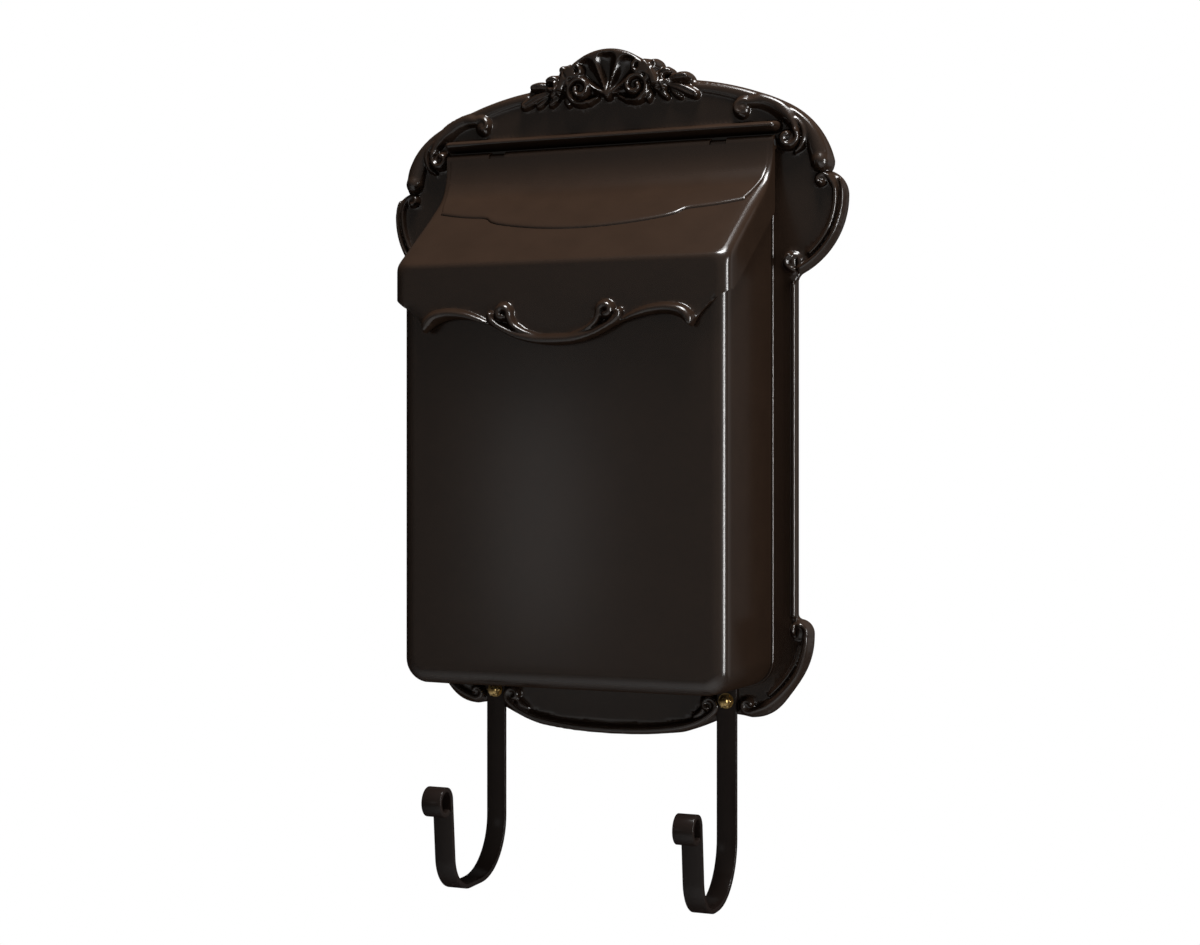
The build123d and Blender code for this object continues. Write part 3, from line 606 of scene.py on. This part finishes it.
for x in (-BOSS_PLACE, BOSS_PLACE):
    for z in BOSS_HEIGHTS:
        outward = BOSS_SIZE / 2 * np.sign(x)
        left, right = sorted((x - outward, x + BOSS_SHARE * outward))
        boss_low = np.array((left, -PLATE_THICKNESS - BOSS_LENGTH, z - BOSS_SIZE / 2))
        boss_high = np.array((right, -PLATE_THICKNESS, z + BOSS_SIZE / 2))
        parts.append(block(boss_low, boss_high))
pan = piece("pan", parts, bronze_coat)
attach(pan, "root")
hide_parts("box_body")


# Lid: one casting that hangs on the hinge rod by its rolled top edge and rests on the pan.
# A cove runs down from the hinge into a slope with a raised ogee panel, and cheeks close its sides.
# The front drops to a scrolled apron with a carved bead, which is the pull.

LID_TOP, LID_FRONT, LID_HALF_WIDTH = 70.5, 87.1, 103.3
LID_WALL, KNUCKLE_WALL, COVE_HEAD_WALL = 2.6, 0.4, 1.2
LID_SLOPE = radians(35.5)
LID_EDGE_RADIUS, LID_CORNER_RADIUS = 4.6, 7.5
KNUCKLE_RADIUS = 4.2
LID_BACK, COVE_TOP = HINGE_OUT + KNUCKLE_RADIUS, 138.7
RISE = tan(LID_SLOPE)
COVE_DROP = COVE_TOP - LID_TOP - (LID_FRONT - LID_BACK) * RISE
COVE_RADIUS = COVE_DROP / (cos(LID_SLOPE) - (1 - sin(LID_SLOPE)) * RISE)
COVE_TURN = pi / 2 - LID_SLOPE
COVE_OUT = LID_BACK + COVE_RADIUS * (1 - cos(COVE_TURN))
COVE_FOOT = COVE_TOP - COVE_RADIUS * sin(COVE_TURN)
COVE_ROUNDING, SLOPE_ROUNDING, LEAST_ROUNDING, INNER_LESS = 2.0, 5.5, 0.5, 2.0
ROUNDING_STARTS, ROUNDING_ENDS = COVE_OUT - 12, COVE_OUT + 8
ROOT_TOP, ROOT_ROUNDING, ROOT_OUTS = 138.9, 0.6, (HINGE_OUT, HINGE_OUT + 2.2)
CHEEK_LOW, CHEEK_FRONT, LEAST_CHEEK = 48.5, 83.5, 1.0
CORNER_CUT_FROM, CORNER_CUT_LOW, CORNER_CUT_SIDE, CORNER_CUT_RISE = 77.5, 46.9, 93.6, 0.68
LUG_GAP, BEYOND_LUG, SHORT_OF_LUG = (64.9, 75.1), 80, 56
BARREL_HALF = 103.16
CHEEK_STEPS, ROUNDING_STEPS, FILLET_STEPS, KNUCKLE_STEPS = 8, 6, 12, 40
COVE_HEIGHTS = (136.7, *np.linspace(133, COVE_FOOT, 8))
SLOPE_OUTS = (45, 60, 72, 79.6, 81.6, 83.2, 84.4)
APRON_CORNER, APRON_ARCH, APRON_NOTCH, APRON_FOOT = (80.0, 32.0), (62.0, 39.5), (31.0, 31.5), (0, 23.6)
APRON_EDGE_ROUND, APRON_CARVED_TO = 0.9, 52
PANEL_HALF, PANEL_FLARE, PANEL_RAISE, PANEL_HEAD = 94.8, 6.0, 1.4, 140.6
PANEL_SIDE_ROUND, PANEL_FOOT_ROUND = 1.4, 1.6
PANEL_SUNK, PANEL_UNDER = 0.15, 0.3
PANEL_FADE, PANEL_FADED = (0.4, 0.75), (0.25, 1.0)
PANEL_ROWS = 25
OGEE_FROM, OGEE_TO, PANEL_PLAIN_TO = 52, 66, 93


def bend(start, heading, end, steps=14):
    """Points of the arc that leaves one point along a heading and ends at another point."""
    start, chord = np.array(start, float), np.array(end, float) - start
    first = atan2(heading[1], heading[0])
    turn = (atan2(chord[1], chord[0]) - first + pi) % (2 * pi) - pi
    share = np.linspace(0, 1, steps)[:, None] * turn
    reach = np.hypot(*chord) * np.sin(share) / sin(turn)
    return start + reach * np.hstack([np.cos(first + share), np.sin(first + share)])


def lid_surface(height):
    """The lid's profile at a height: how far out it is there, and which way it faces."""
    if height >= COVE_TOP:
        return LID_BACK, 0.0
    angle = min(np.arcsin(min((COVE_TOP - height) / COVE_RADIUS, 1)), COVE_TURN)
    if angle < COVE_TURN:
        return LID_BACK + COVE_RADIUS * (1 - cos(angle)), angle
    return LID_FRONT - (height - LID_TOP) / RISE, COVE_TURN


def lid_section(out, top, gone, rounding):
    """The lid cut through at a distance out: up one cheek, over the top and down the other."""
    radius = LID_CORNER_RADIUS - gone
    past = max(out - LID_FRONT + LID_CORNER_RADIUS, 0)
    side = LID_HALF_WIDTH - gone - (out - PLATE_THICKNESS) * DRAFT
    half = side - radius + sqrt(max(radius**2 - past**2, 0))
    low = CHEEK_LOW + (CHEEK_FRONT - out) * RISE
    if out > CORNER_CUT_FROM:
        low = max(low, CORNER_CUT_LOW + CORNER_CUT_RISE * (half + gone - CORNER_CUT_SIDE))
    low = min(low, top - rounding - LEAST_CHEEK)
    cheek = np.column_stack([np.full(CHEEK_STEPS, half), np.linspace(low, top - rounding, CHEEK_STEPS)])
    ring = circle((half - rounding, top - rounding), rounding, 4 * ROUNDING_STEPS)
    beyond = np.linspace(half - rounding, BEYOND_LUG, 4)[1:]
    across = np.array([*beyond, *LUG_GAP[::-1], *np.linspace(SHORT_OF_LUG, 0, 8)])
    over = np.column_stack([across, np.full(len(across), top)])
    right = np.vstack([cheek, ring[1:ROUNDING_STEPS + 1], over])
    return stand(np.vstack([right, right[::-1][1:] * (-1, 1)]), out)


fillet_out = LID_FRONT - LID_EDGE_RADIUS
fillet_height = LID_TOP + LID_EDGE_RADIUS * RISE - LID_EDGE_RADIUS / cos(LID_SLOPE)
profile = [(LID_BACK, HINGE_HEIGHT, 0.0, KNUCKLE_WALL), (LID_BACK, COVE_TOP, 0.0, COVE_HEAD_WALL)]
for height in COVE_HEIGHTS:
    out, angle = lid_surface(height)
    profile.append((out, height, angle, LID_WALL))
for out in SLOPE_OUTS:
    profile.append((out, LID_TOP + (LID_FRONT - out) * RISE, COVE_TURN, LID_WALL))
for angle in np.linspace(COVE_TURN, 0, FILLET_STEPS):
    out, height = fillet_out + LID_EDGE_RADIUS * cos(angle), fillet_height + LID_EDGE_RADIUS * sin(angle)
    profile.append((out, height, angle, LID_WALL))
outer_rings = [lid_section(out, ROOT_TOP, 0, ROOT_ROUNDING) for out in ROOT_OUTS]
inner_rings = [lid_section(out, ROOT_TOP, LID_WALL, ROOT_ROUNDING) for out in ROOT_OUTS]
for out, height, angle, metal in profile:
    rounding = float(np.interp(out, (ROUNDING_STARTS, ROUNDING_ENDS), (COVE_ROUNDING, SLOPE_ROUNDING)))
    inner_rounding = max(rounding - INNER_LESS, LEAST_ROUNDING)
    inner_out, inner_height = out - metal * cos(angle), height - metal * sin(angle)
    outer_rings.append(lid_section(out, height, 0, rounding))
    inner_rings.append(lid_section(inner_out, inner_height, LID_WALL, inner_rounding))
columns = len(outer_rings[0])
outer, inner = np.vstack(outer_rings), np.vstack(inner_rings)
cheek_columns = CHEEK_STEPS + ROUNDING_STEPS
faces = []
for face in quads(len(outer_rings), columns):
    row, column = divmod(face[0], columns)
    if row >= len(ROOT_OUTS) or not cheek_columns - 1 <= column < columns - cheek_columns:
        faces.append(face)

front_ring = outer_rings[-1][:, [0, 2]]
apron_right = np.vstack([
    bend(front_ring[0], (-1, -0.6), APRON_CORNER)[1:], bend(APRON_ARCH, (1, 0), APRON_CORNER)[::-1][1:],
    bend(APRON_ARCH, (-1, 0), APRON_NOTCH)[1:], bend(APRON_FOOT, (1, 0), APRON_NOTCH)[::-1][1:]])
apron_edge = np.vstack([apron_right, apron_right[::-1][1:] * (-1, 1)])
apron_loop = np.vstack([front_ring[::-1], apron_edge])
apron_bead = ridge(
    through([(79.0, 34.8), (78.0, 37.6), (74.6, 40.6), (69.0, 42.2),
             (62.0, 42.4), (54.0, 41.2), (46.4, 38.6), (41.0, 36.4)]),
    (3.4, 3.6, 3.3, 2.9, 2.7, 2.6, 2.3, 1.6), (4.8, 5.2, 5.0, 4.6, 4.4, 4.2, 3.6, 2.6))
apron_swag = ridge(
    through([(38.6, 41.0), (37.4, 37.8), (31.8, 33.6), (22.6, 29.4), (11.0, 27.0), (0, 26.5)]),
    (2.4, 2.6, 2.8, 3.0, 3.1, 3.1), (4.6, 4.8, 4.8, 4.6, 4.6, 4.6))
apron_curl = ridge(
    np.vstack([through([(10.0, 29.4), (18.6, 31.6), (24.6, 35.4), (27.0, 40.0)]),
               volute((31.0, 41.8), (4.0, 1.8), 190, -290)]),
    (0.6, 2.0, 2.6, 2.8, 2.8, 2.6), (2.4, 4.4, 5.0, 5.2, 5.2, 5.0))
apron_carving = [apron_bead, apron_swag, apron_curl]


def apron_relief(x, z, spare=0.0):
    """Height of the carving on the apron's right half."""
    return carving(apron_carving, x, z, spare)


apron_points = scatter(apron_relief, apron_loop.min(0), apron_loop.max(0))
apron, apron_faces = sheet([apron_loop], apron_points)
edge_path = np.vstack([front_ring[:1], apron_edge, front_ring[-1:]])
apron_drop = edge_drop(edge_path, apron[:, 0], apron[:, 1], APRON_EDGE_ROUND)
apron_rise = soften(apron_relief(np.abs(apron[:, 0]), apron[:, 1]) - apron_drop, apron_faces)
apron_rise[apron[:, 1] > APRON_CARVED_TO] = 0
at_front = np.arange(len(outer) - columns, len(outer))
ring_of = {tuple(np.round(point, 3)): at for point, at in zip(front_ring, at_front)}
index = [ring_of.get(tuple(np.round(point, 3))) for point in apron]
extra = [i for i, at in enumerate(index) if at is None]
for number, i in enumerate(extra):
    index[i] = len(outer) + number
outer = np.vstack([outer, stand(apron[extra], LID_FRONT + apron_rise[extra])])
inner = np.vstack([inner, stand(apron[extra], LID_FRONT - LID_WALL)])
faces += [[index[i] for i in face] for face in apron_faces]
parts = [thick(outer, inner, faces)]
knuckle = circle((HINGE_OUT, HINGE_HEIGHT), KNUCKLE_RADIUS, KNUCKLE_STEPS)
for left, right in ((-BARREL_HALF, -LUG_GAP[1]), (-LUG_GAP[0], LUG_GAP[0]), (LUG_GAP[1], BARREL_HALF)):
    parts.append(collar(left, right, knuckle, ROD_HOLE_RADIUS))

panel_edge = np.vstack([
    bend((0, 91.2), (1, 0), (52.6, 96.4), 10),
    through([(53.8, 96.8), (57.4, 98.0), (61.0, 100.2), (64.4, 101.0)], 6),
    bend((66.0, 101.2), (1, 0.06), (PANEL_HALF, 105.2), 12)])
side_steps = np.array((PANEL_SIDE_ROUND, 0.9, 0.5, 0.2, 0))
panel_x = np.unique(np.concatenate([
    np.linspace(0, OGEE_FROM, 18), np.linspace(OGEE_FROM, OGEE_TO, 18),
    np.linspace(OGEE_TO, PANEL_PLAIN_TO, 12), PANEL_HALF - side_steps]))
panel_x = np.concatenate([-panel_x[:0:-1], panel_x])
panel_low = np.interp(np.abs(panel_x), panel_edge[:, 0], panel_edge[:, 1])
foot_steps = (PANEL_FOOT_ROUND, 1.0, 0.6, 0.3, 0.1, 0.0)
shares = np.concatenate([np.linspace(0, 1, PANEL_ROWS, endpoint=False), np.ones(len(foot_steps))])
above_foot = np.concatenate([np.full(PANEL_ROWS, PANEL_FOOT_ROUND), foot_steps])
over, under = [], []
for share, above in zip(shares, above_foot):
    side = PANEL_HALF + PANEL_FLARE * (1 - share**4)
    rise = PANEL_RAISE * float(np.interp(share, PANEL_FADE, PANEL_FADED))
    near_foot = min(above / PANEL_FOOT_ROUND, 1)
    for x, low in zip(panel_x * side / PANEL_HALF, panel_low):
        height = PANEL_HEAD + (low + above - PANEL_HEAD) * share
        out, angle = lid_surface(height)
        near_side = min(max(side - abs(x), 0) / PANEL_SIDE_ROUND, 1)
        swell = rise * min(sqrt(1 - (1 - near_side)**2), sqrt(1 - (1 - near_foot)**2)) - PANEL_SUNK
        over.append((x, -(out + swell * cos(angle)), height + swell * sin(angle)))
        under.append((x, -(out - PANEL_UNDER * cos(angle)), height - PANEL_UNDER * sin(angle)))
parts.append(thick(np.array(over), np.array(under), quads(len(shares), len(panel_x))))
lid = piece("lid_casting", parts, bronze_coat)
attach(lid, "lid")
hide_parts("lid")


# Hinge rod, pan screws and hook bolts: plain zinc-plated steel.
# The rod runs through the plate's two lugs and the lid's rolled edge.
# The screws and the bolts come through the plate from behind, with their heads sunk in its back.

ZINC_DULL, ZINC_BRIGHT = (0.42, 0.42, 0.43), (0.58, 0.58, 0.57)
HAZE, ZINC_ROUGHNESS, HAZE_ROUGHNESS = 300.0, 0.28, 0.2

steel, place, sockets = new_finish("zinc_steel")
haze = place.noise(HAZE, 3.0)
feed(sockets, Base_Color=haze.colour(ZINC_DULL, ZINC_BRIGHT), Metallic=1.0,
     Roughness=ZINC_ROUGHNESS + HAZE_ROUGHNESS * haze)
for node in ("hinge_rod", "box_screws", "hook_bolts"):
    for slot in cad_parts[node].material_slots:
        slot.material = steel


# Newspaper hooks: flat steel bar bent by hand to a J with a rolled tip, painted matt black.
# Each is clamped to the plate's foot by a bolt with a brass washer and acorn nut, and no two bends are alike.

HOOK_PLACE = 73.3
STRAP_HALF_WIDTH, STRAP_THICKNESS, STRAP_CORNER = 6.0, 2.8, 0.5
STRAP_TOP = -172.4
BACK_BEND, FRONT_BEND, HOOK_LEAN, CURL_RADIUS, CURL_TURN = 33.0, 21.0, 5.0, 7.1, -301.2
LEFT_LOW, LEFT_REACH, LEFT_TIP_RISE = -289.0, 69.5, 56.0
RIGHT_LOW, RIGHT_REACH, RIGHT_TIP_RISE = -293.0, 59.0, 53.0
HOOK_STEP = 6
HOOK_DARK, HOOK_LIGHT = (0.0150, 0.0100, 0.0084), (0.0200, 0.0136, 0.0114)

hook_black = coated_metal("hook_black", HOOK_DARK, HOOK_LIGHT, roughness=0.5, grain=0.25, gloss=0.4)


def bent_path(start, heading, moves):
    """Points and headings along a bar: a move is a length straight on, or a radius and a turn in degrees."""
    place, angle = np.array(start, float), radians(heading)
    path = [(*place, angle)]
    for size, turn in moves:
        steps = 2 if turn == 0 else 3 + int(abs(turn) / HOOK_STEP)
        side = np.sign(turn)
        for share in np.linspace(0, 1, steps)[1:]:
            if turn == 0:
                path.append((*(place + share * size * np.array((cos(angle), sin(angle)))), angle))
                continue
            now = angle + radians(turn) * share
            centre = place + side * size * np.array((-sin(angle), cos(angle)))
            path.append((*(centre - side * size * np.array((-sin(now), cos(now)))), now))
        place, angle = np.array(path[-1][:2]), path[-1][2]
    return path


def ends(rings, count):
    """The two faces that close a tube at its first ring and at its last."""
    return [list(range(count)), list(range((rings - 1) * count, rings * count))]


def flat_bar(x, path):
    """A flat bar with eased edges along a path in the side view."""
    corner = (STRAP_HALF_WIDTH - STRAP_CORNER, STRAP_THICKNESS / 2 - STRAP_CORNER)
    quarter = circle(corner, STRAP_CORNER, 12)[:4]
    section = np.vstack([quarter, quarter[::-1] * (-1, 1), -quarter, quarter[::-1] * (1, -1)])
    points = []
    for out, height, angle in path:
        for across, through_bar in section:
            points.append((x + across, -(out - through_bar * sin(angle)), height + through_bar * cos(angle)))
    return np.array(points), tube(range(len(path)), len(section)) + ends(len(path), len(section))


for name, x, low, reach, tip_rise in (
        ("hook_left", -HOOK_PLACE, LEFT_LOW, LEFT_REACH, LEFT_TIP_RISE),
        ("hook_right", HOOK_PLACE, RIGHT_LOW, RIGHT_REACH, RIGHT_TIP_RISE)):
    out = PLATE_THICKNESS + STRAP_THICKNESS / 2
    path = bent_path((out, STRAP_TOP), -90, [
        (STRAP_TOP - low - STRAP_THICKNESS / 2 - BACK_BEND, 0), (BACK_BEND, 90),
        (reach - BACK_BEND - FRONT_BEND, 0), (FRONT_BEND, 90 - HOOK_LEAN),
        (tip_rise - FRONT_BEND, 0), (CURL_RADIUS, CURL_TURN)])
    hook = piece("bent_" + name, [flat_bar(x, path)], hook_black)
    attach(hook, "root")
    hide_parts(name)


# Acorn nuts and washers: turned from brass and polished.
# Each nut closes on the end of a hook bolt, over its washer, and clamps the hook to the plate.

NUT_HEIGHT = -179.0
NUT_SEAT = 8.1
NUT_APOTHEM, NUT_HEX_HEIGHT, NUT_TALL = 3.5, 3.2, 6.1
NUT_EASE, NUT_SHOULDER, SHOULDER_DROP = 0.3, 3.45, 0.5
DOME_RADIUS, DOME_STEP = 3.1, 0.1
NUT_POINTS = 48
BRASS_DULL, BRASS_BRIGHT = (0.34, 0.22, 0.08), (0.58, 0.42, 0.18)
TARNISH, BRASS_ROUGHNESS, TARNISH_ROUGHNESS = 500.0, 0.2, 0.2

brass, place, sockets = new_finish("brass")
tarnish = place.noise(TARNISH, 3.0)
feed(sockets, Base_Color=tarnish.colour(BRASS_DULL, BRASS_BRIGHT), Metallic=1.0,
     Roughness=BRASS_ROUGHNESS + TARNISH_ROUGHNESS * tarnish)


def acorn_nut(x):
    """A hexagon with eased corners that runs up into a round dome."""
    angle = np.linspace(0, 2 * pi, NUT_POINTS, endpoint=False)
    hexagon = NUT_APOTHEM / np.cos((angle + pi / 6) % (pi / 3) - pi / 6)
    dome_foot = NUT_HEX_HEIGHT + DOME_STEP
    levels = [
        (0.0, hexagon - NUT_EASE), (NUT_EASE, hexagon), (NUT_HEX_HEIGHT - SHOULDER_DROP, hexagon),
        (NUT_HEX_HEIGHT, np.minimum(hexagon, NUT_SHOULDER)), (dome_foot, np.full(NUT_POINTS, DOME_RADIUS))]
    for turn in np.radians((15, 30, 45, 60, 72, 83)):
        level = dome_foot + (NUT_TALL - dome_foot) * sin(turn)
        levels.append((level, np.full(NUT_POINTS, DOME_RADIUS * cos(turn))))
    rings = []
    for level, radius in levels:
        out = np.full(NUT_POINTS, -(NUT_SEAT + level))
        rings.append(np.column_stack([x + radius * np.sin(angle), out, NUT_HEIGHT + radius * np.cos(angle)]))
    return np.vstack(rings), tube(range(len(rings)), NUT_POINTS) + ends(len(rings), NUT_POINTS)


nuts = piece("acorn_nuts", [acorn_nut(-HOOK_PLACE), acorn_nut(HOOK_PLACE)], brass)
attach(nuts, "root")
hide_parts("hook_nuts")
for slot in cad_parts["hook_washers"].material_slots:
    slot.material = brass


# Stage: a pale floor that holds the shadow, and a white backdrop that curves up behind it.
# The backdrop shows white to the camera and in the polished metal.

FLOOR_FRONT, FLOOR_LEVEL, STAGE_HALF = -3.0, -1.2, 6.0
BACKDROP_OUT, BACKDROP_TURN, BACKDROP_TOP = 2.6, 0.8, 3.2
PAINT_DARK, PAINT_LIGHT = (0.78, 0.78, 0.78), (0.82, 0.82, 0.82)
PAINT_CLOUDS, PAINT_ROUGHNESS = 3.0, 0.9


def stage_sheet(name, side):
    """A sheet of the stage from its side view, in two close shades of one pale paint."""
    mesh = bpy.data.meshes.new(name)
    mesh.from_pydata([(x, y, z) for y, z in side for x in (-STAGE_HALF, STAGE_HALF)], [], quads(len(side), 2))
    made = bpy.data.objects.new(name, mesh)
    bpy.context.scene.collection.objects.link(made)
    paint, place, sockets = new_finish(name + "_paint")
    clouds = place.noise(PAINT_CLOUDS)
    feed(sockets, Base_Color=clouds.colour(PAINT_DARK, PAINT_LIGHT), Roughness=PAINT_ROUGHNESS)
    mesh.materials.append(paint)
    return place


fold = BACKDROP_OUT - BACKDROP_TURN
stage_sheet("floor", [(FLOOR_FRONT, FLOOR_LEVEL), (fold, FLOOR_LEVEL)])
curve = [
    (fold + BACKDROP_TURN * sin(turn), FLOOR_LEVEL + BACKDROP_TURN * (1 - cos(turn)))
    for turn in np.radians(np.arange(0, 91, 10))]
place = stage_sheet("backdrop", [*curve, (BACKDROP_OUT, BACKDROP_TOP)])
tree = place.tree
rays = tree.nodes.new("ShaderNodeLightPath").outputs
camera_ray, glossy_ray = Shade(tree, rays["Is Camera Ray"]), Shade(tree, rays["Is Glossy Ray"])
seen = camera_ray + glossy_ray + Shade(tree, rays["Is Transmission Ray"])
bright = place.add("ShaderNodeEmission", {}, {"Color": (1, 1, 1, 1), "Strength": 1.0})
surface = Shade(tree, tree.nodes["Principled BSDF"].outputs[0])
shown = place.add("ShaderNodeMixShader", {}, {0: seen, 1: surface, 2: bright})
tree.links.new(shown.socket, tree.nodes["Material Output"].inputs["Surface"])


# Light: a soft box overhead, a long lamp above and behind the crest, and a tall strip to the right.
# A faint glow comes from the front left, and the room around is dim and a little warm.

ROOM_COLOUR, ROOM_LIGHT = (1.0, 0.94, 0.88, 1), 0.1


def soft_box(name, place, target, width, height, power):
    """A flat lamp that faces a target."""
    lamp = bpy.data.lights.new(name, "AREA")
    lamp.shape = "RECTANGLE"
    lamp.size, lamp.size_y, lamp.energy = width, height, power
    stand_in = bpy.data.objects.new(name, lamp)
    stand_in.location = place
    stand_in.rotation_euler = (Vector(target) - Vector(place)).to_track_quat("-Z", "Y").to_euler()
    bpy.context.scene.collection.objects.link(stand_in)


soft_box("overhead", (0.24, -0.22, 1.30), (0, -0.06, 0.05), 0.5, 0.5, 30.0)
soft_box("top_light", (0.12, 0.16, 1.15), (0, -0.05, 0.10), 0.5, 0.16, 6.0)
soft_box("right_strip", (1.10, -0.25, 0.0), (0.10, -0.08, -0.02), 0.10, 0.78, 6.4)
soft_box("front_glow", (-0.55, -1.26, -0.12), (0, -0.08, -0.08), 0.16, 0.30, 0.055)
world = bpy.data.worlds.new("studio")
bpy.context.scene.world = world
world.use_nodes = True
world.node_tree.nodes["Background"].inputs["Color"].default_value = ROOM_COLOUR
world.node_tree.nodes["Background"].inputs["Strength"].default_value = ROOM_LIGHT


# Camera: level, from the right of the mailbox and at about its middle height, as the photograph was taken.
# The picture is shifted a little rather than the camera tilted, so that upright edges stay upright.

CAMERA_PLACE, CAMERA_TURN = (0.4230, -1.0673, -0.0362), 22
LENS, SENSOR_WIDTH, PICTURE_SHIFT = 57.93, 36.0, -0.0161

camera = bpy.data.objects.new("camera", bpy.data.cameras.new("camera"))
camera.data.lens, camera.data.sensor_width = LENS, SENSOR_WIDTH
camera.location = CAMERA_PLACE
camera.rotation_euler = (radians(90), 0, radians(CAMERA_TURN))
camera.data.shift_y = PICTURE_SHIFT
camera.data.dof.use_dof = False
bpy.context.scene.collection.objects.link(camera)
bpy.context.scene.camera = camera
bpy.context.scene.view_settings.view_transform = "Standard"
